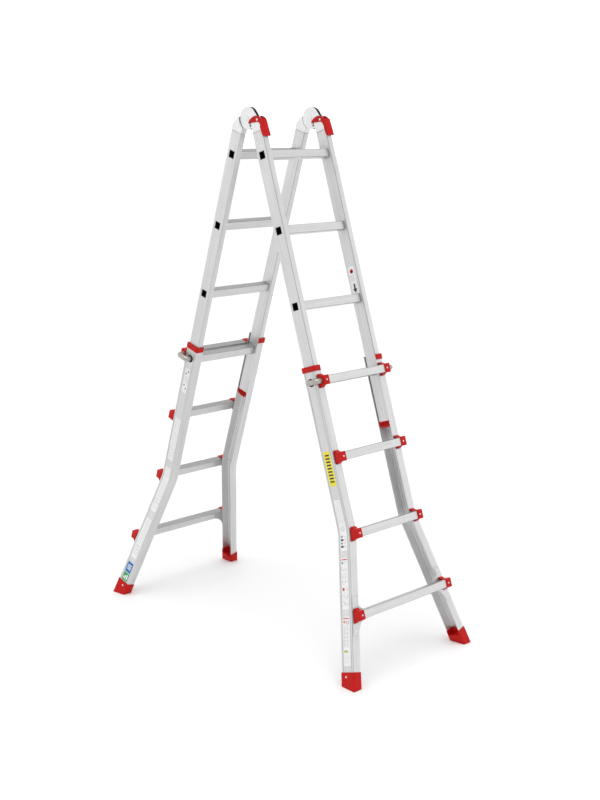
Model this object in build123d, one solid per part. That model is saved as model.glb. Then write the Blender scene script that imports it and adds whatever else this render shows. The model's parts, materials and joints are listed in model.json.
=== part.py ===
from build123d import *
import math
import os

# Multi position ladder: two telescoping sections joined by a pair of locking hinges.
# Each section has an inner ladder of box rails and an outer ladder of channel rails
# that slides on it and is held by two sprung J-locks.
#
# World frame: millimetres, +Z up, origin on the floor midway between the four feet,
# X across the rungs, -Y towards the front (climbing) section.
#
# Every piece is drawn in a section's own frame and then placed. There the hinge axis is
# the X axis, +Z runs up the rails and -Y points out of the climbing side. Two lengths
# are used: "down" is the distance below the hinge axis along the rail, and "out" is the
# distance from the hinge axis towards the climbing side.

# ---- driving dimensions -------------------------------------------------------------
HALF_ANGLE = 17.74        # each section leans this much from the vertical, degrees
HINGE_HEIGHT = 1960.0     # hinge axis above the floor
PITCH = 280.0             # rung spacing
FIRST_RUNG = 149.7        # top inner rung below the hinge axis
RUNGS = 4                 # rungs on each inner and each outer ladder

INNER_HALF_WIDTH = 175.65   # outer faces of the inner rails
INNER_DEEP = 55.2           # inner rail, front to back
INNER_WIDE = 25.7
INNER_WALL = 1.6
INNER_CORNER = 4.5
RAIL_OUT = 39.5             # rail centre plane, out from the hinge axis
RAIL_TOP = 64.0             # upper end of the inner rails
SEAM = 1.6                  # shadow gap between a rail's end and the hinge leaf's cap
INNER_END = 1183.0          # lower end of the inner rails

OUTER_HALF_WIDTH = 179.85   # outer web faces of the outer rails, above the flare
OUTER_DEEP = 60.5
OUTER_WIDE = 33.8
OUTER_WALL = 1.8
OUTER_CORNER = 3.0
OUTER_TOP = 933.5
FLARE_START = 1536.0        # where the web lines above and below the bend meet
FLARE_ANGLE = 14.7
FLARE_RADIUS = 120.0        # at the web's outer face

INNER_RUNG = 31.0           # square tube
OUTER_RUNG = 30.0
RUNG_WALL = 1.5
OUTER_RUNG_OUT = 87.0       # centre of the outer rungs, out from the hinge axis
BRACKET_FRONT = 105.0
BRACKET = (5.0, 31.0)       # a bracket's box, measured in from the outer web's face
BRACKET_WING = (9.0, 28.0)  # its wings, measured the same way
WING = 25.3                 # how far the wings reach above and below the rung's middle
RUNG_END = 9.0              # the outer rungs' ends, in from the outer web's face
GUIDE = 36.6                # the J-lock's guide in a rung reaches this far in

BAR = 20.0                  # J-lock bar
BAR_BEND = 11.0             # centreline radius of its two bends
BAR_STANDOFF = 20.0         # centreline of the U beyond the outer web, at rest
RUN = 0.1                   # radial running fit
GAP = 0.3                   # clearance between moving faces

DISC = 40.7                 # hinge cheek radius
CHEEKS = (5.0, 25.0)        # outer faces of the cheeks, measured in from the rail face
CHEEK = 4.0
HUB = 22.0                  # notched hub of the rear leaf
HINGE_PIN = 7.0             # radii of the hinge pins and the levers' pivots
PIVOT = 3.0
LEVER_ARM = 3.0             # thickness of the levers' two arms
LOCK_PIN = 4.0              # radius of the hinge lock pin
LOCK_PIN_OUT = 6.0
LOCK_DEPTH = 3.38           # how far the lock pin goes in from rest, into a notch
LOCK_LIFT = 4.3             # how far the lever lifts it
LEVER_HOME = 4.4            # lever angle from rest to home, degrees
LEVER_PIVOT = (50.0, 21.0)  # out, down
LOCK_ANGLES = (0.0, 2 * HALF_ANGLE, 180.0)   # folded, A-frame, straight

SHEET = 3.0                 # wall of the red mouldings
BOOT_TOP = 2015.0
COLLAR = (931.0, 951.0)     # 840 mm further up, it stops 1 mm short of the levers
GUSSET = 1.5
RIVET = 4.0                 # radius of a rivet's head
SHANK = 2.4
FLAT = 0.02                 # faces this far apart count as touching


# ---- helpers ------------------------------------------------------------------------
def at(x, out, down):
    """A place in the section's frame."""
    return Pos(x, -out, -down)


def inset(depth):
    """The x of a plane this far in from the right inner rail's outer face."""
    return INNER_HALF_WIDTH - depth


def block(x, out, down):
    """A box from three (low, high) spans."""
    size = [high - low for low, high in (x, out, down)]
    middle = [(high + low) / 2 for low, high in (x, out, down)]
    return at(*middle) * Box(*size)


def square_block(x, out, down, half):
    """A square bar along X, given by its middle and half its side."""
    return block(x, (out - half, out + half), (down - half, down + half))


def outline(points):
    """A face in the current plane from its corner points."""
    return make_face(Polyline(*points, close=True))


def side_plate(points, x0, x1):
    """A plate across X from (out, down) corner points."""
    face = Plane.YZ.offset(x0) * outline([(-out, -down) for out, down in points])
    return extrude(face, amount=x1 - x0)


def front_plate(points, out0, out1):
    """A plate facing the climbing side, from (x, down) corner points."""
    face = Plane.XZ.offset(out0) * outline([(x, -down) for x, down in points])
    return extrude(face, amount=out1 - out0)


def rod(radius, x0, x1, out, down):
    """A round bar along X."""
    return at((x0 + x1) / 2, out, down) * Rot(0, 90, 0) * Cylinder(radius, abs(x1 - x0))


def dome(radius, height):
    """A rivet's domed head on the XY plane, with its top towards +Z."""
    ball = (radius**2 + height**2) / (2 * height)
    cap = Pos(0, 0, height - ball) * Sphere(ball)
    return cap & Pos(0, 0, height / 2) * Box(3 * radius, 3 * radius, height)


def rivet(place, grip, height=1.8, radius=RIVET):
    """A head standing on the place's +Z side and a shank going grip deep below it."""
    return place * (dome(radius, height) + Pos(0, 0, -grip / 2) * Cylinder(SHANK, grip))


def both(piece):
    """A right-hand piece and its left-hand mirror image."""
    return [piece, mirror(piece, about=Plane.YZ)]


def rung_down(number):
    """The distance of a rung below the hinge axis; 0 is the top inner rung."""
    return FIRST_RUNG + number * PITCH


def half_width(down):
    """The outer rail's web, as an x."""
    below = max(0.0, down - FLARE_START)
    return OUTER_HALF_WIDTH + below * math.tan(math.radians(FLARE_ANGLE))


# ---- inner ladder -------------------------------------------------------------------
def rounded_bar(deep, wide, corner, top, end):
    """A bar of the inner rail's section, at the right-hand rail."""
    face = RectangleRounded(wide, deep, corner)
    return at(inset(INNER_WIDE / 2), RAIL_OUT, end) * extrude(face, amount=end - top)


def leaf_rivet_holes():
    """Where the two rivets that hold a hinge leaf in its rail go through."""
    return [(RAIL_OUT - 12, 100.0), (RAIL_OUT + 12, 118.0)]


def inner_rail():
    core = INNER_DEEP - 2 * INNER_WALL
    rail = rounded_bar(INNER_DEEP, INNER_WIDE, INNER_CORNER, RAIL_TOP, INNER_END)
    bore = INNER_CORNER - INNER_WALL
    rail -= rounded_bar(core, INNER_WIDE - 2 * INNER_WALL, bore, RAIL_TOP - 1, INNER_END + 1)
    across = (inset(INNER_WIDE + 1), inset(-1))
    for number in range(RUNGS):
        rail -= square_block(across, RAIL_OUT, rung_down(number), INNER_RUNG / 2)
    for out, down in leaf_rivet_holes():
        rail -= rod(SHANK, *across, out, down)
    return rail


def tread_section(size, wall, grooves=6, groove=0.8):
    """A square tube's section with a grooved tread on its upper side."""
    half = size / 2
    tube = RectangleRounded(size, size, 1.5) - RectangleRounded(size - 2 * wall, size - 2 * wall, 0.6)
    step = (size - 8.0) / (grooves - 1)
    for number in range(grooves):
        tube -= Pos(-half + 4.0 + number * step, half) * Rectangle(1.4, 2 * groove)
    return tube


def rung(size, half_length, out, down):
    """A rung tube across the ladder, tread side up the rail."""
    section = Plane.YZ.offset(-half_length) * tread_section(size, RUNG_WALL)
    return at(0, out, down) * extrude(section, amount=2 * half_length)


def inner_rung(number):
    """Flush with both rails' outer faces, where its ends stay open for the J-locks."""
    size = INNER_RUNG - FLAT
    return rung(size, INNER_HALF_WIDTH, RAIL_OUT, rung_down(number))


def rung_sleeves():
    """Black sleeves with a closed inner end, in both ends of every inner rung."""
    size = INNER_RUNG - 2 * RUNG_WALL - 0.1
    mouth, depth, wall = 1.0, 34.0, 1.4
    sleeves = []
    for number in range(RUNGS):
        down = rung_down(number)
        shell = square_block((inset(depth), inset(mouth)), RAIL_OUT, down, size / 2)
        shell = fillet(shell.edges().filter_by(Axis.X), 0.8)
        bore = (inset(depth - 2), inset(mouth - 1))
        sleeves += both(shell - square_block(bore, RAIL_OUT, down, size / 2 - wall))
    return sleeves


def end_plugs():
    """Ribbed glide plugs that close the lower ends of the inner rails."""
    core = INNER_DEEP - 2 * INNER_WALL - 0.2
    wide = INNER_WIDE - 2 * INNER_WALL - 0.2
    length, tail = 25.0, 28.0
    plug = rounded_bar(INNER_DEEP, INNER_WIDE, INNER_CORNER, INNER_END, INNER_END + length)
    plug += rounded_bar(core, wide, 2.8, INNER_END - tail, INNER_END + 1)
    low, high = RAIL_OUT - INNER_DEEP / 2, RAIL_OUT + INNER_DEEP / 2
    for edge, inward in ((low, 1), (high, -1)):
        corner = [(edge, INNER_END + length - 7), (edge, INNER_END + length + 1)]
        corner.append((edge + inward * 20, INNER_END + length + 1))
        plug -= side_plate(corner, inset(INNER_WIDE + 1), inset(-1))
    ribs = 4
    for number in range(ribs):
        out = RAIL_OUT + (number - (ribs - 1) / 2) * 11.0
        pocket = ((out - 3.6, out + 3.6), (INNER_END + 4, INNER_END + 17))
        plug -= block((inset(INNER_WIDE + 1), inset(INNER_WIDE - 3)), *pocket)
    return both(plug)


# ---- hinges -------------------------------------------------------------------------
def shank():
    """The part of a hinge leaf that goes into the rail, and its cap just above the rail."""
    core = INNER_DEEP - 2 * INNER_WALL - 0.2
    cap = RAIL_TOP - SEAM
    piece = rounded_bar(core, INNER_WIDE - 2 * INNER_WALL - 0.2, 2.7, cap - 1, 132.0)
    piece += rounded_bar(INNER_DEEP, INNER_WIDE, INNER_CORNER, RAIL_TOP - 6, cap)
    for out, down in leaf_rivet_holes():
        piece -= rod(SHANK, inset(INNER_WIDE + 1), inset(-1), out, down)
    return piece


def slot_for_pin():
    """The lock pin's path, as (out, down) corner points of a slot in the cheeks."""
    centre = lock_pin_down()
    half = LOCK_PIN + GAP
    top = centre - LOCK_DEPTH - half
    end = centre + LOCK_LIFT + half
    return [(LOCK_PIN_OUT - half, top), (LOCK_PIN_OUT + half, top),
            (LOCK_PIN_OUT + half, end), (LOCK_PIN_OUT - half, end)]


def lock_pin_down():
    """The lock pin's distance below the hinge axis at rest, just clear of the hub."""
    return math.sqrt((HUB + LOCK_PIN + 0.4) ** 2 - LOCK_PIN_OUT**2)


def cheek_corners():
    """The part of a cheek that joins its disc to the rail, as (out, down) points."""
    low, high = RAIL_OUT - INNER_DEEP / 2, RAIL_OUT + INNER_DEEP / 2
    return [(0, -DISC + 3), (37.5, -15.9), (high, 54.0), (high, RAIL_TOP - 3),
            (low, RAIL_TOP - 3), (low, 30.0), (0, 20.0)]


def front_leaf():
    """Two cheeks joined by a web block over the rail, with the shank below."""
    piece = shank()
    for start in (CHEEKS[0], CHEEKS[1] - CHEEK):
        x0, x1 = inset(start + CHEEK), inset(start)
        cheek = rod(DISC, x0, x1, 0, 0) + side_plate(cheek_corners(), x0, x1)
        cheek -= side_plate(slot_for_pin(), x0 - 1, x1 + 1)
        piece += cheek
    web = [(15, 38), (61.5, 42), (67.1, 54), (67.1, 62), (15, 62)]
    piece += side_plate(web, inset(CHEEKS[1] - 1), inset(CHEEKS[0] + 1))
    across = (inset(CHEEKS[1] + 1), inset(CHEEKS[0] - 1))
    piece -= rod(HINGE_PIN, *across, 0, 0)
    return piece - rod(PIVOT, *across, *LEVER_PIVOT)


def rear_leaf():
    """A notched tongue between the front leaf's cheeks and a box over the rail."""
    x0, x1 = inset(CHEEKS[1] - CHEEK - GAP), inset(CHEEKS[0] + CHEEK + GAP)
    neck = [(14, 3), (40, 3), (60, 44), (60, 62), (14, 62)]
    tongue = rod(HUB, x0, x1, 0, 0) + side_plate(neck, x0, x1)
    low, high = RAIL_OUT - INNER_DEEP / 2, RAIL_OUT + INNER_DEEP / 2
    cheek = [(36, 8), (45, 8), (high, 41), (high, 60), (low, 60), (low, 34)]
    box = side_plate(cheek, inset(INNER_WIDE), inset(0))
    box -= rod(DISC + 1.3, inset(INNER_WIDE + 1), inset(-1), 0, 0)
    piece = shank() + box + tongue
    for angle in LOCK_ANGLES:
        piece -= notch(angle, x0 - 1, x1 + 1)
    return piece - rod(HINGE_PIN + RUN, x0 - 1, x1 + 1, 0, 0)


def notch(angle, x0, x1):
    """Where the engaged lock pin sits in the rear leaf's hub when the sections are at
    this angle to each other. The rear section faces the other way, so the pin stands on
    the other side of the hinge axis in its frame."""
    down = lock_pin_down() - LOCK_DEPTH
    half = LOCK_PIN + RUN
    seat = rod(half, x0, x1, -LOCK_PIN_OUT, down)
    seat += block((x0, x1), (-LOCK_PIN_OUT - half, -LOCK_PIN_OUT + half), (down, down + 12))
    return Rot(angle, 0, 0) * seat


def hinge_pins():
    """The hinge pins, which show as low flat ends, and the levers' pivot rivets."""
    low, high = inset(CHEEKS[1]), inset(CHEEKS[0])
    proud = 0.6
    pin = rod(HINGE_PIN, low - proud, high + proud, 0, 0)
    reach = LEVER_ARM + 2 * GAP
    pivot = rod(PIVOT, low - reach, high + reach, *LEVER_PIVOT)
    for x, turn in ((low - reach, -90), (high + reach, 90)):
        pivot += at(x, *LEVER_PIVOT) * Rot(0, turn, 0) * dome(4.6, 1.6)
    return both(pin) + both(pivot)


def lever():
    """The red release lever, drawn home and then turned out to its rest angle.

    The claw's heel reaches over the lock pin, so squeezing the lever bears on the pin.
    """
    tail = 90.0
    front = (67.6, 71.8)
    claw = [(3.5, 18.0), (17.0, 18.0), (21.0, 21.5), (33.0, 24.5), (46.0, 27.0), (54.0, 32.4),
            (57.4, 39.0), (59.5, 50.0), (front[1], 50.0), (front[1], 31.0), (70.0, 24.4),
            (66.0, 18.0), (60.5, 12.4), (54.6, 8.8), (50.0, 6.6), (44.0, 4.6), (37.0, 3.8),
            (29.0, 3.8), (20.0, 5.2), (12.0, 7.6), (6.5, 10.2), (3.0, 13.4), (2.4, 16.4)]
    inner = inset(CHEEKS[1] + GAP + LEVER_ARM)
    outer = inset(CHEEKS[0] - GAP)
    piece = side_plate(claw, inner, inner + LEVER_ARM) + side_plate(claw, outer, outer + LEVER_ARM)
    wall = 1.9
    sides = (inset(INNER_WIDE + GAP + wall), inset(-GAP - wall))
    face = [(67.0, 27.0), (front[0], 29.5), (front[0], tail), (front[1], tail),
            (front[1], 31.0), (70.4, 25.4)]
    piece += side_plate(face, sides[0], sides[1])
    wrap = [(60.6, 47.0), (58.7, 52.0), (58.7, tail - 10), (62.5, tail - 1.5), (64.5, tail),
            (front[1], tail), (front[1], 47.0)]
    for x0 in (sides[0], sides[1] - wall):
        piece += side_plate(wrap, x0, x0 + wall)
    piece -= rod(PIVOT + RUN, inner - 5, outer + LEVER_ARM + 5, *LEVER_PIVOT)
    pivot = at(0, *LEVER_PIVOT)
    return pivot * Rot(-LEVER_HOME, 0, 0) * pivot.inverse() * piece


def lock_pin():
    """The cross pin that drops into the hub's notches."""
    return rod(LOCK_PIN, inset(CHEEKS[1] + 3.1), inset(CHEEKS[0] - 3.1), LOCK_PIN_OUT, lock_pin_down())


# ---- outer ladder -------------------------------------------------------------------
def channel_face():
    """The outer rail's section about its web's outer face, open towards the other rail."""
    half, wall = OUTER_DEEP / 2, OUTER_WALL
    shape = Pos(-OUTER_WIDE / 2, 0) * RectangleRounded(OUTER_WIDE, OUTER_DEEP, OUTER_CORNER)
    shape += Pos(-OUTER_WIDE + 3, 0) * Rectangle(6, OUTER_DEEP)
    bore = OUTER_CORNER - wall
    shape -= Pos(-OUTER_WIDE / 2 - wall, 0) * RectangleRounded(OUTER_WIDE, OUTER_DEEP - 2 * wall, bore)
    shape -= Pos(-OUTER_WIDE + 2, 0) * Rectangle(10, OUTER_DEEP - 2 * wall)
    for side in (-1, 1):
        for rib in (6.0, 16.5):
            shape += Pos(-wall - 0.6, side * rib) * Rectangle(1.8, 2.4)
        shape -= Pos(0, side * (half - 8.7)) * Rectangle(1.4, 1.6)
    return shape


def rail_path(shape, top, end):
    """A section run down the outer rail: straight, round the flare's bend, and on.

    end is measured along the flared stretch from where the web lines meet."""
    tangent = FLARE_RADIUS * math.tan(math.radians(FLARE_ANGLE / 2))
    bend_start = FLARE_START - tangent
    piece = at(OUTER_HALF_WIDTH, RAIL_OUT, bend_start) * extrude(shape, amount=bend_start - top)
    centre = Axis((OUTER_HALF_WIDTH + FLARE_RADIUS, 0, -bend_start), (0, 1, 0))
    start = at(OUTER_HALF_WIDTH, RAIL_OUT, bend_start) * shape
    piece += revolve(start, centre, -FLARE_ANGLE)
    return piece + flared(extrude(Pos(0, 0, -end) * shape, amount=end - tangent))


def flared(piece):
    """Moves a piece from the flared stretch's own frame, whose origin is on the web where
    the flare starts and whose -Z runs down the web."""
    return at(OUTER_HALF_WIDTH, RAIL_OUT, FLARE_START) * Rot(0, -FLARE_ANGLE, 0) * piece


def flare_length(down):
    """The distance along the flared web from the bend to a given distance down."""
    return (down - FLARE_START) / math.cos(math.radians(FLARE_ANGLE))


def outer_rail():
    rail = rail_path(channel_face(), OUTER_TOP, flare_length(2050.0))
    hole = (OUTER_HALF_WIDTH - 5, OUTER_HALF_WIDTH + 5)
    rail -= rod(12.0, *hole, RAIL_OUT, rung_down(3))
    for place, grip in outer_rivets():
        rail -= rivet_hole(place, grip)
    return rail


def rivet_hole(place, grip):
    """What a rivet's shank takes out of the pieces that it joins."""
    return place * Pos(0, 0, -grip / 2) * Cylinder(SHANK, grip)


def outer_rung(number):
    down = rung_down(number)
    tube = rung(OUTER_RUNG, half_width(down) - RUNG_END, OUTER_RUNG_OUT, down)
    for place, grip in bracket_rivets(number):
        for hole in both(rivet_hole(place, grip)):
            tube -= hole
    return tube


def bracket_base(number):
    """How far out the bracket's foot starts: on the flange, or on the gusset."""
    flange = RAIL_OUT + OUTER_DEEP / 2
    return flange + (GUSSET if number == 2 * RUNGS - 2 else 0)


def sloped_slab(number, span, tall):
    """A plate's front view between two distances in from the web, following the flare."""
    down = rung_down(number)
    slope = math.tan(math.radians(FLARE_ANGLE)) if down > FLARE_START else 0.0
    web, lean = half_width(down), slope * tall
    return [(web - span[1] - lean, down - tall), (web - span[0] - lean, down - tall),
            (web - span[0] + lean, down + tall), (web - span[1] + lean, down + tall)]


def bracket(number):
    """The red moulding that ties a rung's end to the rail's front flange: a box round
    the rung, and narrower wings above and below it that slope back to the flange."""
    down = rung_down(number)
    web, base = half_width(down), bracket_base(number)
    half = OUTER_RUNG / 2 + 2.4
    tall = WING + 1
    across = (web - 60, web + 60)
    shape = [(base, WING), (base + 3, WING), (base + 6, WING - 1.5), (86, half), (86, -half),
             (base + 6, 1.5 - WING), (base + 3, -WING), (base, -WING)]
    shape = [(out, down + lean) for out, lean in shape]
    piece = side_plate(shape, *across) & front_plate(sloped_slab(number, BRACKET_WING, tall), base, 86)
    box = block((web - BRACKET[1], web - BRACKET[0]), (base + 4, BRACKET_FRONT), (down - half, down + half))
    piece += fillet(box.edges().filter_by(Axis.X).sort_by(Axis.Y)[:2], 3.0)
    piece -= square_block((web - BRACKET[1] - 1, web - RUNG_END), OUTER_RUNG_OUT, down, OUTER_RUNG / 2)
    wall = 3.0
    room = WING - wall
    rung_back = OUTER_RUNG_OUT - OUTER_RUNG / 2
    relief = [(base - 1, -room), (base + 3, -room), (rung_back + 2, -half + wall),
              (rung_back + 2, half - wall), (base + 3, room), (base - 1, room)]
    relief = [(out, down + lean) for out, lean in relief]
    open_side = (BRACKET_WING[0] + wall, BRACKET[1] + 20)
    piece -= side_plate(relief, *across) & front_plate(sloped_slab(number, open_side, tall), base - 1, 90)
    if number == RUNGS - 1:
        piece = lock_bracket(piece, web, down)
    for place, grip in bracket_rivets(number):
        piece -= rivet_hole(place, grip)
    return piece


def lock_bracket(piece, web, down):
    """Opens the outer end for the J-lock and adds the guide that its leg slides in."""
    inner = OUTER_RUNG / 2 - RUNG_WALL - 0.1
    guide = square_block((web - GUIDE, web - RUNG_END + 0.1), OUTER_RUNG_OUT, down, inner)
    piece += fillet(guide.edges().filter_by(Axis.X), 0.8)
    return piece - rod(BAR / 2 + RUN, web - GUIDE - 5, web + 5, OUTER_RUNG_OUT, down)


def bracket_rivets(number):
    """(place, grip) of the rivet through a bracket's front face and the rung's wall."""
    down = rung_down(number)
    place = at(half_width(down) - 19.5, BRACKET_FRONT, down) * Rot(90, 0, 0)
    return [(place, BRACKET_FRONT - OUTER_RUNG_OUT - OUTER_RUNG / 2 + RUNG_WALL + 1.0)]


def wing_rivets(number):
    """(place, grip) of the two rivets through a bracket's wings or gusset and flange."""
    down = rung_down(number)
    out = RAIL_OUT + OUTER_DEEP / 2
    places = []
    for side in (-1, 1):
        x = half_width(down + side * 52) - 17.0
        places.append((at(x, out + GUSSET, down + side * 52) * Rot(90, 0, 0), GUSSET + OUTER_WALL))
    return places


def boot_rivets():
    """(place, grip) of the rivets on a boot's outer face and just above it on the flange."""
    t = flare_length(BOOT_TOP)
    side = flared(Pos(SHEET, 6, -t - 16) * Rot(0, 90, 0))
    front = flared(Pos(-9, -OUTER_DEEP / 2, -t + 9) * Rot(90, 0, 0))
    return [(side, SHEET + OUTER_WALL), (front, OUTER_WALL)]


def outer_rivets():
    """Every rivet of the outer ladder's right-hand rail, as (place, grip)."""
    return wing_rivets(2 * RUNGS - 2) + boot_rivets()


def collar():
    """The red guide on the channel's top, with lips that the inner rail slides on."""
    top, end = COLLAR
    wide = OUTER_WIDE + SHEET
    deep = OUTER_DEEP + 2 * SHEET
    face = Pos(-wide / 2 + SHEET, 0) * RectangleRounded(wide, deep, 5.0)
    piece = at(OUTER_HALF_WIDTH, RAIL_OUT, end) * extrude(face, amount=end - top)
    slot = INNER_DEEP + 2 * GAP
    reach = OUTER_HALF_WIDTH - INNER_HALF_WIDTH - GAP
    out = (RAIL_OUT - slot / 2, RAIL_OUT + slot / 2)
    piece -= block((OUTER_HALF_WIDTH - 60, OUTER_HALF_WIDTH - reach), out, (top - 1, end + 1))
    seat = OUTER_DEEP / 2
    bed = (OUTER_HALF_WIDTH - 60, OUTER_HALF_WIDTH)
    piece -= block(bed, (RAIL_OUT - seat, RAIL_OUT + seat), (OUTER_TOP, end + 1))
    return piece


def lock_bush():
    """The black bush in the web where the J-lock's pin goes through."""
    down = rung_down(3)
    bush = rod(14.5, OUTER_HALF_WIDTH, OUTER_HALF_WIDTH + 1.5, RAIL_OUT, down)
    bush += rod(12.0 - FLAT, OUTER_HALF_WIDTH - OUTER_WALL, OUTER_HALF_WIDTH + 1, RAIL_OUT, down)
    return bush - rod(BAR / 2 + RUN, OUTER_HALF_WIDTH - 9, OUTER_HALF_WIDTH + 9, RAIL_OUT, down)


def boot():
    """The foot: a boot on the channel's end, cut level with the floor."""
    t0, t1 = flare_length(BOOT_TOP), flare_length(2150.0)
    wide = OUTER_WIDE + 2 * SHEET
    deep = OUTER_DEEP + 2 * SHEET
    face = Pos(-wide / 2 + SHEET, 0) * RectangleRounded(wide, deep, 6.0)
    piece = flared(extrude(Pos(0, 0, -t1) * face, amount=t1 - t0))
    hollow = Pos(-OUTER_WIDE / 2 - OUTER_WALL, 0) * Rectangle(OUTER_WIDE, OUTER_DEEP - 2 * OUTER_WALL - 4)
    piece -= flared(extrude(Pos(-8, 0, -t0 - 18) * hollow, amount=30))
    channel = RectangleRounded(OUTER_WIDE, OUTER_DEEP, OUTER_CORNER)
    filled = Pos(-OUTER_WIDE / 2, 0) * channel + Pos(-OUTER_WIDE + 3, 0) * Rectangle(6, OUTER_DEEP)
    core = Pos(-OUTER_WIDE / 2 - OUTER_WALL - 1.6, 0) * Rectangle(OUTER_WIDE, OUTER_DEEP - 2 * OUTER_WALL)
    end = flare_length(2050.0)
    piece -= flared(extrude(Pos(0, 0, -end) * (filled - core), amount=end - t0 + 1))
    piece &= lift_off_floor(floor_slab())
    for place, grip in boot_rivets():
        piece -= rivet_hole(place, grip)
    return piece


def floor_slab():
    """A slab standing on the floor, in the world frame, with the boots' tread grooves."""
    slab = Pos(0, 0, 150) * Box(3000, 3000, 300)
    pitch, grooves = 14.0, 12
    middle = boot_centre()
    for number in range(grooves):
        y = middle[1] + (number - (grooves - 1) / 2) * pitch
        slab -= Pos(0, y, 0) * Box(3000, 3.0, 4.0)
    return slab


def boot_centre():
    """The middle of the front right boot's sole, in the world frame."""
    lean = math.radians(HALF_ANGLE)
    down = (HINGE_HEIGHT + RAIL_OUT * math.sin(lean)) / math.cos(lean)
    out = RAIL_OUT * math.cos(lean) + down * math.sin(lean)
    return half_width(down) - OUTER_WIDE / 2, -out, 0.0


def gusset():
    """The plate that braces the bottom rung where the rails flare."""
    number = 2 * RUNGS - 2
    down = rung_down(number)
    out = RAIL_OUT + OUTER_DEEP / 2
    tall, reach = 66.0, 40.0
    slope = math.tan(math.radians(FLARE_ANGLE))
    web = half_width(down) - OUTER_CORNER
    edge = half_width(down) - OUTER_WIDE
    half = OUTER_RUNG / 2 - 2
    with BuildSketch(Plane.XZ.offset(out)) as plate:
        with BuildLine():
            top = (edge - slope * tall, -(down - tall))
            foot = (edge + slope * tall, -(down + tall))
            tip_up = (edge - reach, -(down - half))
            tip_low = (edge - reach, -(down + half))
            outer_low = (web + slope * tall, -(down + tall))
            outer_up = (web - slope * tall, -(down - tall))
            ThreePointArc(top, (edge - 12, -(down - half - 15)), tip_up)
            Line(tip_up, tip_low)
            ThreePointArc(tip_low, (edge - 6, -(down + half + 16)), foot)
            Polyline(foot, outer_low, outer_up, top)
        make_face()
    piece = extrude(plate.sketch, amount=GUSSET)
    for place, grip in wing_rivets(number):
        piece -= rivet_hole(place, grip)
    return piece


def lock_spring():
    """The spring in the rung's end that pulls a J-lock home. It bears on the guide."""
    turns, wire, pitch = 6, 1.1, 6.0
    x0 = half_width(rung_down(3)) - GUIDE - wire - 0.2
    coil = Helix(pitch, turns * pitch, 8.6)
    start = Plane(origin=coil @ 0, z_dir=coil % 0)
    spring = sweep(start * Circle(wire), path=coil, is_frenet=True)
    return at(x0, OUTER_RUNG_OUT, rung_down(3)) * Rot(0, -90, 0) * spring


# ---- J-locks ------------------------------------------------------------------------
def j_lock():
    """A bent bar with one leg through the web into a rung and the other in the rung end."""
    down = rung_down(3)
    crown = OUTER_HALF_WIDTH + BAR_STANDOFF
    tip = INNER_HALF_WIDTH + 0.4
    shoulder = OUTER_HALF_WIDTH - 30.0
    bends = FilletPolyline(
        (tip, -RAIL_OUT, -down),
        (crown, -RAIL_OUT, -down),
        (crown, -OUTER_RUNG_OUT, -down),
        (shoulder, -OUTER_RUNG_OUT, -down),
        radius=BAR_BEND,
    )
    bar = sweep(Plane(origin=bends @ 0, z_dir=bends % 0) * Circle(BAR / 2), path=bends)
    bar -= at(tip, RAIL_OUT, down) * Rot(0, 90, 0) * (Cylinder(20, 4) - Cone(9, 11, 4))
    stem = shoulder - 62
    bar += rod(6.0, stem, shoulder + 1, OUTER_RUNG_OUT, down)
    return bar + rod(11.5, stem - 4, stem, OUTER_RUNG_OUT, down)


# ---- rivets -------------------------------------------------------------------------
def inner_rivets():
    """Flush on the outside, where the channel slides, and domed on the inside."""
    rivets = []
    for out, down in leaf_rivet_holes():
        place = at(inset(INNER_WIDE), out, down) * Rot(0, -90, 0)
        rivets += both(rivet(place, INNER_WIDE))
    return rivets


def section_rivets():
    """All the rivets of one outer ladder."""
    rivets = []
    for number in range(RUNGS - 1, 2 * RUNGS - 1):
        for place, grip in bracket_rivets(number):
            rivets += both(rivet(place, grip, height=1.5, radius=3.4))
    for place, grip in outer_rivets():
        rivets += both(rivet(place, grip, height=1.4))
    return rivets


# ---- assembly -----------------------------------------------------------------------
def section_place(section):
    """Where a section's frame stands in the world."""
    turn = Rot(0, 0, 180) if section == "rear" else Rot(0, 0, 0)
    return Pos(0, 0, HINGE_HEIGHT) * turn * Rot(-HALF_ANGLE, 0, 0)


def lift_off_floor(piece):
    """Takes a piece from the world frame into the front section's frame."""
    return section_place("front").inverse() * piece


def save(name, section, solids):
    """Writes one node, placed in the world."""
    placed = [section_place(section) * solid for solid in solids]
    shape = placed[0] if len(placed) == 1 else Compound(children=[s for p in placed for s in p.solids()])
    shape.label = name
    export_step(shape, f"parts/{name}.step")


def save_pair(name, section, piece):
    """Writes a right-hand and a left-hand piece as two nodes. The rear section is turned
    half round, so the side that is drawn on the right stands on the left."""
    sides = ("right", "left") if section == "front" else ("left", "right")
    for side, solid in zip(sides, both(piece)):
        save(f"{section}_{name}_{side}", section, [solid])


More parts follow.
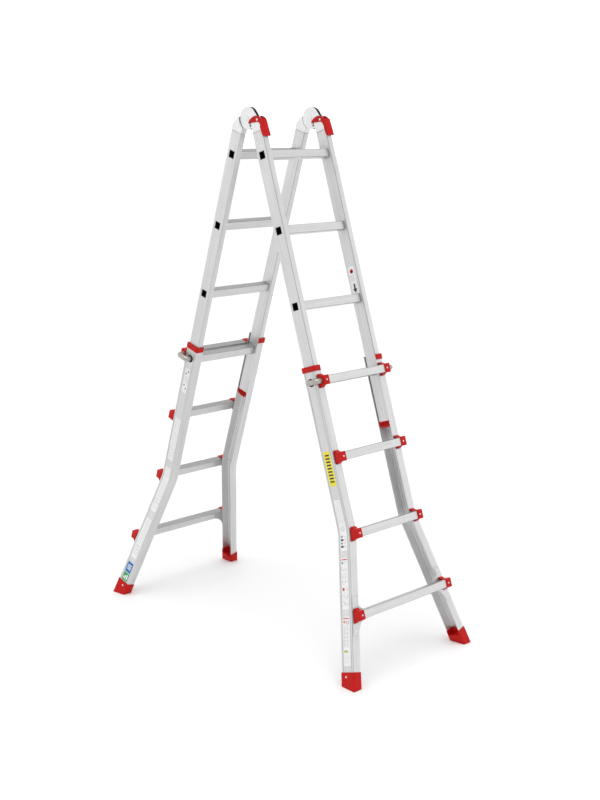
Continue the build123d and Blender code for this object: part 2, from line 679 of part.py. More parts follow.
def build_section(section):
    inner_rungs = [inner_rung(number) for number in range(RUNGS)]
    save_pair("inner_rail", section, inner_rail())
    for number, piece in enumerate(inner_rungs):
        save(f"{section}_inner_rung_{number + 1}", section, [piece])
    save(f"{section}_inner_rung_sleeves", section, rung_sleeves())
    save(f"{section}_inner_end_plugs", section, end_plugs())
    save(f"{section}_inner_rivets", section, inner_rivets())
    save_pair("hinge_leaf", section, front_leaf() if section == "front" else rear_leaf())

    lower = range(RUNGS - 1, 2 * RUNGS - 1)
    save_pair("outer_rail", section, outer_rail())
    for number in lower:
        save(f"{section}_outer_rung_{number - RUNGS + 2}", section, [outer_rung(number)])
    brackets = [piece for number in lower for piece in both(bracket(number))]
    save(f"{section}_outer_rung_brackets", section, brackets)
    save(f"{section}_outer_collars", section, both(collar()))
    save(f"{section}_outer_lock_bushes", section, both(lock_bush()))
    save(f"{section}_outer_gussets", section, both(gusset()))
    save(f"{section}_outer_rivets", section, section_rivets())
    save(f"{section}_outer_lock_springs", section, both(lock_spring()))
    save_pair("foot", section, boot())
    save_pair("j_lock", section, j_lock())


def main():
    os.makedirs("parts", exist_ok=True)
    for section in ("front", "rear"):
        build_section(section)
    save("hinge_pins", "front", hinge_pins())
    save_pair("release_lever", "front", lever())
    save_pair("hinge_lock_pin", "front", lock_pin())


main()
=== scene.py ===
"""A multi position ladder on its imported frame: finishes, labels, floor, light and camera."""

import json
import math

import bmesh
import bpy
from mathutils import Matrix, Vector
from mathutils.bvhtree import BVHTree


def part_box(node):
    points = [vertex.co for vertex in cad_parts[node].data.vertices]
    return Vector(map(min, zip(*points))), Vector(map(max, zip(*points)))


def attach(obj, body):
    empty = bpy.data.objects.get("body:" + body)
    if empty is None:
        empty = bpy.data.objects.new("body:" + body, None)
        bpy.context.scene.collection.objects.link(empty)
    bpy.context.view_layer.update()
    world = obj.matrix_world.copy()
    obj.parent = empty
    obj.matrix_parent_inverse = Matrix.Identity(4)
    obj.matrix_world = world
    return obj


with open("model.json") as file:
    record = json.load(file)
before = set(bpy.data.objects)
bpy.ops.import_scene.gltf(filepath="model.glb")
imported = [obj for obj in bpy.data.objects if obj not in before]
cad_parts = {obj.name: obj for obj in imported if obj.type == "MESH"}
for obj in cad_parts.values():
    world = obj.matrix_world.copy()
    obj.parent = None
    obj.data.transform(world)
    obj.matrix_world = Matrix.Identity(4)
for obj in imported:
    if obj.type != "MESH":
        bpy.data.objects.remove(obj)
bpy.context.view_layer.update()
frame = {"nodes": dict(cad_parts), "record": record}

HALF_ANGLE = math.radians(17.74)    # each section's lean from the vertical
HINGE = Vector((0.0, 0.0, 1.96))
RAIL_OUT = 0.0395                   # middle of the rails, out from the hinge axis
OUTER_HALF_WIDTH = 0.17985          # outer faces of the outer rails, above the flare
SLOT = (0.1543, 0.1669)             # inner faces of a front hinge leaf's two cheeks
FLARE_START = 1.536
FLARE_SLOPE = math.tan(math.radians(14.7))
TURNS = {"front": 0.0, "rear": math.pi}
SKY_BANDS = ((0.1, 0.88), (0.2, 1.04), (0.34, 1.0), (0.5, 0.5), (0.68, 0.5), (0.85, 1.0))
SKY_STRENGTH = 1.33
DARK_WALL = Vector((-0.72, -0.67, 0.2)).normalized()    # the unlit end of the studio


# ---- camera, light and floor --------------------------------------------------------
def make_camera():
    data = bpy.data.cameras.new("camera")
    data.sensor_fit = "AUTO"
    data.sensor_width = 36.0
    data.lens = 59.21
    data.clip_start = 0.05
    data.clip_end = 200.0
    camera = bpy.data.objects.new("camera", data)
    bpy.context.scene.collection.objects.link(camera)
    forward = Vector((0.682935, 0.699419, -0.210741)).normalized()
    right = Vector((0.715508, -0.698604, 0.0)).normalized()
    up = right.cross(forward)
    camera.matrix_world = Matrix((
        (right.x, up.x, -forward.x, -3.44709),
        (right.y, up.y, -forward.y, -3.62883),
        (right.z, up.z, -forward.z, 1.96647),
        (0, 0, 0, 1),
    ))
    bpy.context.scene.camera = camera


def area_light(name, place, target, size, power, colour=(1, 1, 1)):
    data = bpy.data.lights.new(name, "AREA")
    data.shape = "RECTANGLE"
    data.size, data.size_y = size
    data.energy = power
    data.color = colour
    lamp = bpy.data.objects.new(name, data)
    bpy.context.scene.collection.objects.link(lamp)
    lamp.location = place
    lamp.rotation_euler = (Vector(target) - Vector(place)).to_track_quat("-Z", "Y").to_euler()


def make_world():
    """A plain white studio, with brighter and dimmer bands higher up and an unlit end, which
    only the metal's reflections show."""
    world = bpy.data.worlds.new("studio")
    bpy.context.scene.world = world
    world.use_nodes = True
    tree = world.node_tree
    background = tree.nodes["Background"]
    where = tree.nodes.new("ShaderNodeTexCoord")
    split = tree.nodes.new("ShaderNodeSeparateXYZ")
    ramp = tree.nodes.new("ShaderNodeValToRGB")
    tree.links.new(where.outputs["Generated"], split.inputs[0])
    tree.links.new(split.outputs["Z"], ramp.inputs["Fac"])
    facing = tree.nodes.new("ShaderNodeVectorMath")
    facing.operation = "DOT_PRODUCT"
    facing.inputs[1].default_value = DARK_WALL
    tree.links.new(where.outputs["Generated"], facing.inputs[0])
    dim = tree.nodes.new("ShaderNodeMapRange")
    dim.interpolation_type = "SMOOTHSTEP"
    for name, number in (("From Min", 0.78), ("From Max", 0.97), ("To Min", 1.0), ("To Max", 0.12)):
        dim.inputs[name].default_value = number
    tree.links.new(facing.outputs["Value"], dim.inputs["Value"])
    shade = tree.nodes.new("ShaderNodeVectorMath")
    shade.operation = "SCALE"
    tree.links.new(ramp.outputs["Color"], shade.inputs[0])
    tree.links.new(dim.outputs["Result"], shade.inputs["Scale"])
    path = tree.nodes.new("ShaderNodeLightPath")
    seen = tree.nodes.new("ShaderNodeMix")
    seen.data_type = "VECTOR"
    tree.links.new(path.outputs["Is Camera Ray"], seen.inputs["Factor"])
    tree.links.new(shade.outputs[0], next(s for s in seen.inputs if s.identifier == "A_Vector"))
    next(s for s in seen.inputs if s.identifier == "B_Vector").default_value = (1.0, 1.0, 1.0)
    result = next(s for s in seen.outputs if s.identifier == "Result_Vector")
    tree.links.new(result, background.inputs["Color"])
    stops = ramp.color_ramp.elements
    stops[0].position, stops[0].color = 0.0, (1, 1, 1, 1)
    stops[1].position, stops[1].color = 1.0, (1, 1, 1, 1)
    for position, level in SKY_BANDS:
        stop = stops.new(position)
        stop.color = (level, level, level, 1)
    background.inputs["Strength"].default_value = SKY_STRENGTH


def sun(power, spread, lean):
    """Broad soft light from above, the same all over the floor."""
    data = bpy.data.lights.new("sun", "SUN")
    data.energy = power
    data.angle = spread
    lamp = bpy.data.objects.new("sun", data)
    bpy.context.scene.collection.objects.link(lamp)
    lamp.rotation_euler = lean


def make_floor():
    """A wide round sheet that the camera never sees the end of."""
    mesh = bpy.data.meshes.new("floor")
    bm = bmesh.new()
    rings = (0.0, 1.5, 4.0, 12.0, 60.0)
    spokes = 48
    bm.verts.new((0, 0, 0))
    for radius in rings[1:]:
        for k in range(spokes):
            turn = 2 * math.pi * k / spokes
            bm.verts.new((radius * math.cos(turn), radius * math.sin(turn), 0))
    bm.verts.ensure_lookup_table()
    for k in range(spokes):
        after = (k + 1) % spokes
        bm.faces.new((bm.verts[0], bm.verts[1 + k], bm.verts[1 + after]))
        for ring in range(len(rings) - 2):
            inner, outer = 1 + ring * spokes, 1 + (ring + 1) * spokes
            corners = (inner + k, outer + k, outer + after, inner + after)
            bm.faces.new([bm.verts[c] for c in corners])
    bm.to_mesh(mesh)
    bm.free()
    floor = bpy.data.objects.new("studio_floor", mesh)
    bpy.context.scene.collection.objects.link(floor)
    floor.location.z = -0.0006
    look = Finish("studio_floor")
    cloud = look.noise(look.point(), 1.4, 3)
    look.colour(look.between(cloud, (0.83, 0.828, 0.832), (0.85, 0.85, 0.85)))
    look.set(Roughness=0.62)
    look.socket("Specular IOR Level").default_value = 0.25
    mesh.materials.append(look.material)


# ---- finishes -----------------------------------------------------------------------
class Finish:
    """Builds one procedural material, node by node."""

    def __init__(self, name):
        self.material = bpy.data.materials.new(name)
        self.material.use_nodes = True
        self.tree = self.material.node_tree
        self.shader = self.tree.nodes["Principled BSDF"]

    def node(self, kind, **settings):
        made = self.tree.nodes.new(kind)
        for key, value in settings.items():
            setattr(made, key, value)
        return made

    def feed(self, socket, value):
        if isinstance(value, bpy.types.NodeSocket):
            self.tree.links.new(value, socket)
        else:
            socket.default_value = value

    def socket(self, name):
        return self.shader.inputs[name]

    def set(self, **values):
        for name, value in values.items():
            self.feed(self.socket(name.replace("_", " ")), value)

    def point(self):
        return self.node("ShaderNodeTexCoord").outputs["Object"]

    def math(self, operation, a, b=0.0, c=0.0):
        made = self.node("ShaderNodeMath", operation=operation)
        for socket, value in zip(made.inputs, (a, b, c)):
            self.feed(socket, value)
        return made.outputs[0]

    def turned(self, vector, section):
        """A direction in the section's own frame."""
        turn = self.node("ShaderNodeMapping", vector_type="VECTOR")
        self.feed(turn.inputs["Vector"], vector)
        lean = HALF_ANGLE if section == "front" else -HALF_ANGLE
        turn.inputs["Rotation"].default_value = (lean, 0, TURNS[section])
        return turn.outputs[0]

    def in_section(self, section):
        """Coordinates along the section: x across, -y out, -z down from the hinge."""
        return self.turned(self.from_hinge(), section)

    def from_hinge(self):
        lift = self.node("ShaderNodeVectorMath", operation="SUBTRACT")
        self.feed(lift.inputs[0], self.point())
        lift.inputs[1].default_value = HINGE
        return lift.outputs[0]

    def parts(self, vector):
        """A vector's x, y and z, without their signs."""
        split = self.node("ShaderNodeSeparateXYZ")
        self.feed(split.inputs[0], vector)
        return [self.math("ABSOLUTE", socket) for socket in split.outputs]

    def corner(self, section, first, second, start, end):
        """1 on the rounded corners between faces square to two of the section's axes."""
        facing = self.node("ShaderNodeTexCoord").outputs["Normal"]
        parts = self.parts(self.turned(facing, section))
        return self.spread(self.math("MINIMUM", parts[first], parts[second]), 0.0, 1.0, start, end)

    def tread_shade(self, section):
        """1 on a rung's grooved top faces, which get painted shade for the shadow in their grooves."""
        facing = self.node("ShaderNodeTexCoord").outputs["Normal"]
        return self.spread(self.parts(self.turned(facing, section))[2], 0.0, 1.0, 0.8, 0.95)

    def crevice_shade(self, reach):
        """1 deep in grooves and joints and 0 in the open, from ambient occlusion; used for painted shade.
        """
        made = self.node("ShaderNodeAmbientOcclusion", samples=4)
        made.inputs["Distance"].default_value = reach
        return self.spread(made.outputs["AO"], 1.0, 0.0, 0.25, 0.95)

    def unflared(self, vector):
        """Coordinates that run on straight where the outer rails bend out."""
        split = self.node("ShaderNodeSeparateXYZ")
        self.feed(split.inputs[0], vector)
        across = self.math("ABSOLUTE", split.outputs["X"])
        below = self.math("SUBTRACT", self.math("MULTIPLY", split.outputs["Z"], -1.0), FLARE_START)
        spread = self.math("MULTIPLY", self.math("MAXIMUM", below, 0.0), FLARE_SLOPE)
        join = self.node("ShaderNodeCombineXYZ")
        self.feed(join.inputs["X"], self.math("SUBTRACT", across, spread))
        self.feed(join.inputs["Y"], split.outputs["Y"])
        self.feed(join.inputs["Z"], split.outputs["Z"])
        return join.outputs[0]

    def stretched(self, vector, scale):
        made = self.node("ShaderNodeVectorMath", operation="MULTIPLY")
        self.feed(made.inputs[0], vector)
        made.inputs[1].default_value = scale
        return made.outputs[0]

    def noise(self, vector, scale, detail=2.0, rough=0.5):
        made = self.node("ShaderNodeTexNoise")
        self.feed(made.inputs["Vector"], vector)
        made.inputs["Scale"].default_value = scale
        made.inputs["Detail"].default_value = detail
        made.inputs["Roughness"].default_value = rough
        return made.outputs["Fac"]

    def spread(self, value, low, high, start=0.3, end=0.7):
        made = self.node("ShaderNodeMapRange")
        self.feed(made.inputs["Value"], value)
        for name, number in (("From Min", start), ("From Max", end), ("To Min", low), ("To Max", high)):
            made.inputs[name].default_value = number
        return made.outputs["Result"]

    def between(self, share, first, second, blend="MIX"):
        """A colour from the first to the second as share goes from 0 to 1."""
        made = self.node("ShaderNodeMix", data_type="RGBA", blend_type=blend)
        self.feed(made.inputs["Factor"], share)
        for socket, value in (("A_Color", first), ("B_Color", second)):
            target = next(s for s in made.inputs if s.identifier == socket)
            self.feed(target, value if isinstance(value, bpy.types.NodeSocket) else (*value, 1.0))
        return next(s for s in made.outputs if s.identifier == "Result_Color")

    def colour(self, value):
        self.feed(self.socket("Base Color"), value)

    def bump(self, height, distance, strength=1.0, normal=None):
        made = self.node("ShaderNodeBump")
        self.feed(made.inputs["Height"], height)
        made.inputs["Distance"].default_value = distance
        made.inputs["Strength"].default_value = strength
        if normal is not None:
            self.feed(made.inputs["Normal"], normal)
        return made.outputs["Normal"]

    def rounded(self, radius):
        """The surface's normal with its edges broken by a small radius."""
        made = self.node("ShaderNodeBevel", samples=4)
        made.inputs["Radius"].default_value = radius
        return made.outputs["Normal"]

    def edge(self, soft, sharpness=6.0):
        """1 on edges and 0 on open faces, from how far the rounded normal leans away."""
        facing = self.node("ShaderNodeNewGeometry").outputs["True Normal"]
        dot = self.node("ShaderNodeVectorMath", operation="DOT_PRODUCT")
        self.feed(dot.inputs[0], soft)
        self.feed(dot.inputs[1], facing)
        lean = self.math("SUBTRACT", 1.0, dot.outputs["Value"])
        made = self.math("MULTIPLY", lean, sharpness)
        return self.math("MINIMUM", made, 1.0)


def extrusion(name, section, tint, across=False, flared=False):
    """Mill-finish aluminium: fine die lines along the piece, cloudy tone, painted shade in grooves, joints
    and on corners.
    """
    look = Finish(name)
    place = look.in_section(section)
    if flared:
        place = look.unflared(place)
    fine = (14.0, 1400.0, 1400.0) if across else (1400.0, 1400.0, 14.0)
    wide = (3.0, 170.0, 170.0) if across else (170.0, 170.0, 3.0)
    lines = look.noise(look.stretched(place, fine), 1.0, 3.0, 0.6)
    bands = look.noise(look.stretched(place, wide), 1.0, 2.0, 0.5)
    clouds = look.noise(place, 9.0, 4.0, 0.55)
    specks = look.noise(place, 420.0, 2.0, 0.6)
    soft = look.rounded(0.0009)
    corner = look.corner(section, *((1, 2, 0.14, 0.4) if across else (0, 1, 0.45, 0.66)))
    dark = tuple(v * 0.9 for v in tint)
    light = tuple(min(1.0, v * 1.06) for v in tint)
    base = look.between(look.spread(bands, 0.0, 1.0), dark, light)
    base = look.between(look.spread(clouds, 0.0, 0.5), base, tuple(v * 0.94 for v in tint))
    base = look.between(look.spread(specks, 0.0, 0.14, 0.62, 0.78), base, (0.38, 0.38, 0.38))
    if flared:
        # Painted light: the faces inside the channel made lighter.
        base = look.between(channel_light(look, place), base, tuple(v * 1.28 for v in tint))
    # Painted shade: darker deep in grooves and joints, from ambient occlusion.
    base = look.between(look.math("MULTIPLY", look.crevice_shade(0.003), 0.7), base, (0.1, 0.1, 0.1))
    # Painted shade: a dark line along the rounded corners.
    base = look.between(look.math("MULTIPLY", corner, 0.85 if across else 0.42), base, (0.16, 0.16, 0.16))
    if across:
        # Painted shade: the rungs' grooved top faces a little darker, for the shadow in their grooves.
        base = look.between(look.math("MULTIPLY", look.tread_shade(section), 0.08), base, (0.12, 0.12, 0.12))
    look.colour(base)
    rough = look.spread(lines, 0.3, 0.46)
    rough = look.math("ADD", rough, look.spread(clouds, -0.03, 0.05))
    look.set(Metallic=METAL, Roughness=rough)
    look.socket("Anisotropic").default_value = 0.3
    look.set(Normal=look.bump(lines, 0.00006, 0.5, soft))
    return look.material


def channel_light(look, place):
    """1 on the faces inside an outer rail's channel, which get painted light."""
    across, out, _ = look.parts(place)
    inner = look.math("LESS_THAN", across, OUTER_HALF_WIDTH - 0.0012)
    near = look.math("LESS_THAN", look.math("ABSOLUTE", look.math("SUBTRACT", out, RAIL_OUT)), 0.0292)
    return look.math("MULTIPLY", inner, near)


def casting(name, tint):
    """Shot-blasted die casting, with painted highlights on its edges and painted shade in the gap where
    the two leaves run between the cheeks.
    """
    look = Finish(name)
    place = look.point()
    grit = look.noise(place, 2600.0, 3.0, 0.6)
    pools = look.noise(place, 60.0, 3.0, 0.5)
    soft = look.rounded(0.0012)
    lit_edge = look.edge(soft, 5.0)
    base = look.between(look.spread(pools, 0, 1), tuple(v * 0.94 for v in tint), tint)
    base = look.between(look.spread(grit, 0, 0.16, 0.5, 0.75), base, (0.6, 0.6, 0.6))
    # Painted highlight: the edges made near white.
    base = look.between(look.math("MULTIPLY", lit_edge, 0.4), base, (0.97, 0.97, 0.97))
    # Painted shade: near black deep in grooves and joints, from ambient occlusion.
    base = look.between(look.math("MULTIPLY", look.crevice_shade(0.004), 0.8), base, (0.06, 0.06, 0.06))
    across, out, down = look.parts(look.from_hinge())
    low, high = SLOT
    past = look.math("GREATER_THAN", across, low)
    between = look.math("MULTIPLY", past, look.math("LESS_THAN", across, high))
    squares = look.math("ADD", look.math("MULTIPLY", out, out), look.math("MULTIPLY", down, down))
    reach = look.math("SQRT", squares)
    slot = look.math("MULTIPLY", between, look.math("LESS_THAN", reach, 0.0405))
    # Painted shade: near black in the gap between the cheeks.
    base = look.between(look.math("MULTIPLY", slot, 0.95), base, (0.02, 0.02, 0.02))
    look.colour(base)
    look.set(Metallic=METAL, Roughness=look.spread(grit, 0.36, 0.5))
    look.set(Normal=look.bump(grit, 0.00008, 0.6, soft))
    return look.material


def moulded(name, tint, gloss, grain, edge_highlight=0.3):
    """Injection-moulded plastic: fine spark texture, slight flow marks, and paler edges from a painted
    highlight.
    """
    look = Finish(name)
    place = look.point()
    texture = look.noise(place, grain, 3.0, 0.6)
    flow = look.noise(place, 38.0, 3.0, 0.5)
    marks = look.noise(look.stretched(place, (90.0, 260.0, 900.0)), 1.0, 2.0, 0.5)
    soft = look.rounded(0.0012)
    lit_edge = look.edge(soft, 4.0)
    base = look.between(look.spread(flow, 0, 1), tuple(v * 0.86 for v in tint), tint)
    pale = tuple(min(1.0, v * 0.95 + 0.05) for v in tint)
    # Painted highlight: the edges made paler.
    base = look.between(look.math("MULTIPLY", lit_edge, edge_highlight), base, pale)
    base = look.between(look.spread(marks, 0, 0.15, 0.66, 0.8), base, pale)
    look.colour(base)
    look.set(Roughness=look.spread(texture, gloss - 0.05, gloss + 0.12))
    look.socket("Specular IOR Level").default_value = 0.14
    look.set(Normal=look.bump(texture, 0.00012, 0.55, soft))
    return look.material


def steel(name, tint, low, high, scale):
    """Plated or drawn steel, with fine lines across the point's own noise."""
    look = Finish(name)
    place = look.point()
    lines = look.noise(look.stretched(place, scale), 1.0, 3.0, 0.6)
    bloom = look.noise(place, 85.0, 4.0, 0.6)
    soft = look.rounded(0.0006)
    base = look.between(look.spread(bloom, 0, 1), tuple(v * 0.86 for v in tint), tint)
    base = look.between(look.spread(lines, 0, 0.3, 0.5, 0.8), base, tuple(v * 0.7 for v in tint))
    look.colour(base)
    look.set(Metallic=0.95, Roughness=look.spread(lines, low, high))
    look.set(Normal=look.bump(lines, 0.00005, 0.5, soft))
    return look.material


def vinyl(name, tint, gloss=0.38):
    """Printed decal film: faint mottling and a slightly uneven gloss."""
    look = Finish(name)
    place = look.point()
    mottle = look.noise(place, 130.0, 3.0, 0.55)
    fibre = look.noise(place, 1500.0, 2.0, 0.5)
    base = look.between(look.spread(mottle, 0, 1), tuple(v * 0.93 for v in tint), tint)
    look.colour(base)
    look.set(Roughness=look.spread(mottle, gloss - 0.06, gloss + 0.1))
    look.set(Normal=look.bump(fibre, 0.00002, 0.4))
    return look.material


METAL = 0.85
RAIL_TINT = (0.635, 0.635, 0.635)
RUNG_TINT = (0.62, 0.62, 0.62)
CAST_TINT = (0.77, 0.77, 0.77)
PLATE_TINT = (0.62, 0.62, 0.62)
RED = (0.50, 0.006, 0.004)


def make_finishes():
    made = {}
    for section in ("front", "rear"):
        made[section, "extruded_rail"] = extrusion(f"rail_{section}", section, RAIL_TINT)
        made[section, "flared_rail"] = extrusion(f"flared_rail_{section}", section, RAIL_TINT, flared=True)
        made[section, "extruded_rung"] = extrusion(f"rung_{section}", section, RUNG_TINT, across=True)
        made[section, "gusset_plate"] = extrusion(f"gusset_{section}", section, PLATE_TINT, across=True)
    shared = {
        "cast_aluminium": casting("cast_aluminium", CAST_TINT),
        "red_plastic": moulded("red_plastic", RED, 0.36, 1500.0),
        "red_foot": moulded("red_foot", RED, 0.46, 900.0, 0.2),
        "black_plastic": moulded("black_plastic", (0.012, 0.012, 0.013), 0.4, 1400.0, 0.12),
        "lock_bar": steel("lock_bar", (0.46, 0.44, 0.40), 0.3, 0.46, (60.0, 900.0, 900.0)),
        "zinc_steel": steel("zinc_steel", (0.62, 0.62, 0.63), 0.26, 0.4, (900.0, 900.0, 60.0)),
        "spring_steel": steel("spring_steel", (0.42, 0.42, 0.43), 0.26, 0.4, (900.0, 900.0, 900.0)),
        "rivet": steel("rivet", (0.82, 0.82, 0.82), 0.24, 0.36, (700.0, 700.0, 700.0)),
    }
    return made, shared


def finish_nodes():
    made, shared = make_finishes()
    slots = {part["node"]: part["material_slot"] for part in frame["record"]["subparts"]}
    for name, piece in frame["nodes"].items():
        slot = slots[name]
        section = "rear" if name.startswith("rear") else "front"
        key = "flared_rail" if "outer_rail" in name else slot
        if name == "hinge_pins":
            slot = "cast_aluminium"
        look = made.get((section, key)) or shared[slot]
        piece.data.materials.clear()
        piece.data.materials.append(look)


# ---- labels -------------------------------------------------------------------------
FILM = 0.14         # a label's thickness, in mm as are all the labels' sizes
PRINT = 0.05        # how far its marks stand above it
SPAN = (-17.0, 17.0)    # a label's edges, about the middle of an outer rail's web


def make_films():
    tones = {
        "white": (0.80, 0.80, 0.80), "yellow": (0.80, 0.69, 0.02), "pale": (0.50, 0.50, 0.51),
        "grey": (0.27, 0.27, 0.28), "black": (0.015, 0.015, 0.016), "red": (0.58, 0.02, 0.02),
        "green": (0.015, 0.33, 0.08), "blue": (0.008, 0.15, 0.42), "orange": (0.75, 0.24, 0.02),
        "olive": (0.48, 0.45, 0.10),
    }
    return {name: vinyl(f"film_{name}", tone) for name, tone in tones.items()}


class Label:
    """A film on a rail's flat side, with marks printed on it. Its outlines are (across,
    down) points: out from the rail's middle, and down from the hinge axis."""

    def __init__(self, name, rail, body, films, inward=True):
        section = rail.split("_")[0]
        self.name, self.body, self.films = name, body, films
        self.section = section
        low, high = (corner.x for corner in map(Vector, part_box(rail)))
        self.side = 1.0 if low + high > 0 else -1.0
        outer, inner = max(abs(low), abs(high)), min(abs(low), abs(high))
        self.start = outer + 0.01 if inward else inner - 0.02
        self.heading = Vector((-self.side if inward else self.side, 0, 0))
        mesh = frame["nodes"][rail].data
        points = [vertex.co for vertex in mesh.vertices]
        faces = [tuple(face.vertices) for face in mesh.polygons]
        self.surface = BVHTree.FromPolygons(points, faces)
        self.bm = bmesh.new()
        self.slots = []

    def lift(self, across, down, height):
        """The place this high above the rail's surface."""
        lean = Matrix.Rotation(-HALF_ANGLE, 4, "X")
        place = Matrix.Translation(HINGE) @ Matrix.Rotation(TURNS[self.section], 4, "Z") @ lean
        x = self.start * self.side
        drawn = x if self.section == "front" else -x
        begin = place @ Vector((drawn, -(RAIL_OUT + across / 1000), -down / 1000))
        hit, normal, _, _ = self.surface.ray_cast(begin, self.heading)
        if normal.dot(self.heading) > 0:
            normal = -normal
        return hit + normal * height / 1000

    def prism(self, loop, low, high, tone):
        """A closed plate between two heights over an outline."""
        if tone not in self.slots:
            self.slots.append(tone)
        floor = [self.bm.verts.new(self.lift(a, d, low)) for a, d in loop]
        roof = [self.bm.verts.new(self.lift(a, d, high)) for a, d in loop]
        faces = [self.bm.faces.new(roof), self.bm.faces.new(floor[::-1])]
        for k, corner in enumerate(roof):
            after = (k + 1) % len(roof)
            faces.append(self.bm.faces.new((floor[k], floor[after], roof[after], corner)))
        for face in faces:
            face.material_index = self.slots.index(tone)

    def film(self, across, down, tone, corner=3.0):
        """The label itself, in short lengths so that it follows the rail's bend."""
        if tone not in self.slots:
            self.slots.append(tone)
        rows = film_rows(across, down, corner)
        rings = []
        for a0, a1, d in rows:
            spots = ((a0, FILM), (a1, FILM), (a1, -0.03), (a0, -0.03))
            rings.append([self.bm.verts.new(self.lift(a, d, h)) for a, h in spots])
        for upper, lower in zip(rings, rings[1:]):
            for k in range(4):
                after = (k + 1) % 4
                self.bm.faces.new((upper[k], upper[after], lower[after], lower[k]))
        self.bm.faces.new(rings[0][::-1])
        self.bm.faces.new(rings[-1])
        for face in self.bm.faces:
            face.material_index = self.slots.index(tone)

    def mark(self, loop, tone):
        self.prism(loop, FILM - 0.02, FILM + PRINT, tone)

    def bar(self, across, down, tone):
        (a0, a1), (d0, d1) = across, down
        self.mark([(a0, d0), (a1, d0), (a1, d1), (a0, d1)], tone)

    def disc(self, across, down, radius, tone, sides=28):
        turns = [2 * math.pi * k / sides for k in range(sides)]
        self.mark([(across + radius * math.cos(t), down + radius * math.sin(t)) for t in turns], tone)

    def arc(self, across, down, radius, width, start, end, tone, steps=24):
        """A curved stroke from one angle to another, in degrees."""
        turns = [math.radians(start + (end - start) * k / steps) for k in range(steps + 1)]
        outer = [(across + radius * math.cos(t), down + radius * math.sin(t)) for t in turns]
        thin = radius - width
        inner = [(across + thin * math.cos(t), down + thin * math.sin(t)) for t in turns]
        for k in range(steps):
            self.mark([outer[k], outer[k + 1], inner[k + 1], inner[k]], tone)

    def lines(self, across, down, pitch, tone, thick=1.1, parts=3):
        """Rows of short bars of uneven length, like fine print but saying nothing."""
        (a0, a1), (d0, d1) = across, down
        room = (a1 - a0) / parts
        for row in range(int((d1 - d0) / pitch)):
            top = d0 + row * pitch
            for part in range(parts):
                share = 0.62 + 0.26 * math.sin(2.3 * row + 1.7 * part)
                left = a0 + part * room
                self.bar((left, left + room * share), (top, top + thick), tone)

    def finish(self):
        bmesh.ops.recalc_face_normals(self.bm, faces=self.bm.faces)
        mesh = bpy.data.meshes.new(self.name)
        self.bm.to_mesh(mesh)
        self.bm.free()
        for tone in self.slots:
            mesh.materials.append(self.films[tone])
        piece = bpy.data.objects.new(self.name, mesh)
        bpy.context.scene.collection.objects.link(piece)
        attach(piece, self.body)


def film_rows(across, down, corner):
    """A rounded rectangle as rows of (low, high, down)."""
    (a0, a1), (d0, d1) = across, down
    steps = 5
    rows = []
    for k in range(steps + 1):
        turn = math.pi / 2 * k / steps
        inset = corner * (1 - math.sin(turn))
        rows.append((a0 + inset, a1 - inset, corner * (1 - math.cos(turn))))
    count = max(2, round((d1 - d0) / 8.0))
    top = [(low, high, d0 + d) for low, high, d in rows]
    foot = [(low, high, d1 - d) for low, high, d in reversed(rows)]
    length = d1 - d0 - 2 * corner
    middle = [(a0, a1, d0 + corner + length * k / count) for k in range(1, count)]
    return top + middle + foot


def outer_label(name, section, down, films, tone="white", across=SPAN, corner=3.0):
    """A blank label on the outside of a left-hand outer rail."""
    label = Label(name, f"{section}_outer_rail_left", f"{section}_outer", films)
    label.film(across, down, tone, corner)
    return label


def striped_strip(films):
    """A yellow strip with plain, even bars straight across it."""
    label = outer_label("label_front_strip", "front", (1243, 1369), films, "yellow", corner=6.0)
    for k in range(9):
        down = 1254 + k * 12.0
        label.bar((-11, 11), (down, down + 6.0), "black")
    label.finish()


def front_labels(films):
    label = outer_label("label_front_upper", "front", (1420, 1602), films)
    label.lines((-14, 14), (1428, 1508), 5.0, "pale")
    label.arc(0, 1526, 8.0, 1.6, 0, 360, "grey")
    label.bar((-14, 14), (1542, 1543.2), "grey")
    for k in range(4):
        down = 1550 + k * 11.5
        label.bar((-14, -4 + 3 * (k % 2)), (down, down + 7.0), "black" if k % 2 else "grey")
        label.lines((2, 14), (down, down + 7.5), 3.4, "grey", parts=2)
    label.finish()

    label = outer_label("label_front_middle", "front", (1626, 1803), films)
    label.bar((-15.5, 15.5), (1631, 1634.5), "red")
    label.bar((-14, -7), (1640, 1648), "green")
    label.lines((-5, 14), (1640, 1650), 3.6, "grey")
    for k in range(6):
        down = 1656 + k * 23.5
        if k == 3:
            label.disc(-8, down + 8, 6.0, "red")
        else:
            label.arc(-8, down + 8, 6.0, 1.3, 40 * k, 40 * k + 250, "grey")
        label.arc(7.5, down + 8, 6.0, 1.3, 70 * k, 70 * k + 220, "grey")
        label.lines((-14, 14), (down + 17, down + 20), 3.0, "pale", 0.9, 4)
    label.finish()

    label = outer_label("label_front_lower", "front", (1827, 1994), films)
    label.bar((-15.5, 15.5), (1832, 1835.5), "red")
    label.mark([(-14, 1841), (-4, 1841), (-4, 1851), (-14, 1848)], "orange")
    label.arc(7, 1847, 6.5, 2.0, 0, 360, "blue")
    label.lines((-14, 14), (1858, 1935), 4.4, "grey", 1.2, 2)
    label.mark([(-14, 1941), (3, 1941), (8, 1949), (-14, 1949)], "olive")
    label.lines((-14, 14), (1955, 1987), 4.4, "pale", 1.2, 3)
    label.finish()


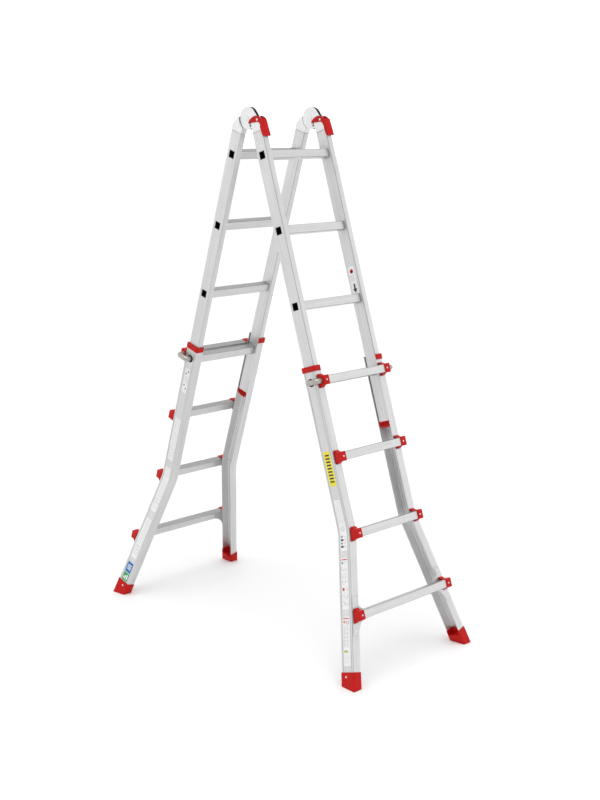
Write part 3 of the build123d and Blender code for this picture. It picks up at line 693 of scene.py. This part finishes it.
def rear_labels(films):
    label = outer_label("label_rear_top", "rear", (1035, 1140), films, across=(-14, 14))
    label.disc(-5.5, 1046, 3.6, "black")
    label.disc(5.5, 1058, 3.6, "black")
    label.lines((-11, 11), (1068, 1100), 4.4, "grey", 1.2, 2)
    label.disc(5.5, 1108, 3.6, "black")
    label.disc(-5.5, 1120, 3.6, "black")
    label.lines((-11, 11), (1128, 1136), 4.0, "pale", 1.2, 2)
    label.finish()
    for number, (top, end) in enumerate(((1260, 1452), (1490, 1688), (1725, 1904))):
        label = outer_label(f"label_rear_{number + 1}", "rear", (top, end), films)
        label.lines((-14, 14), (top + 8, end - 60), 4.8, "pale", 1.1, 3)
        label.bar((-14, 14), (end - 54, end - 52.6), "grey")
        for k in range(3):
            label.arc(-10 + 10 * k, end - 40, 4.2, 1.1, 60 * k, 60 * k + 240, "grey")
        label.lines((-14, 14), (end - 30, end - 8), 4.8, "pale", 1.1, 2)
        label.finish()
    label = outer_label("label_rear_blue", "rear", (1928, 1973), films, "blue", corner=2.0)
    label.bar((-11, 11), (1940, 1944), "white")
    label.bar((-11, 11), (1948, 1952), "white")
    label.bar((-11, 11), (1956, 1960), "white")
    label.finish()
    label = outer_label("label_rear_green", "rear", (1976, 2011), films, "green", corner=2.0)
    label.bar((-12, -5), (1983, 2004), "white")
    label.bar((-1, 6), (1989, 2004), "white")
    label.bar((9, 13), (1995, 2004), "white")
    label.finish()


def inside_label(films):
    label = Label("label_inside", "front_inner_rail_right", "front_inner", films, inward=False)
    label.film((-16, 16), (587, 692), "white")
    label.disc(0, 606, 8.5, "red")
    label.disc(0, 606, 4.5, "white")
    label.lines((-12, 12), (622, 648), 4.4, "grey", 1.2, 2)
    label.bar((-4, 4), (654, 672), "black")
    label.mark([(-11, 672), (11, 672), (0, 688)], "black")
    label.finish()


def make_labels():
    films = make_films()
    striped_strip(films)
    front_labels(films)
    rear_labels(films)
    inside_label(films)


make_camera()
make_world()
make_floor()
sun(0.88, 0.9, (math.radians(14), math.radians(-16), 0))
area_light("key", (-3.0, -4.5, 5.2), (0, 0, 0.8), (3.2, 3.2), 25.0)
finish_nodes()
make_labels()
bpy.context.scene.view_settings.view_transform = "Standard"
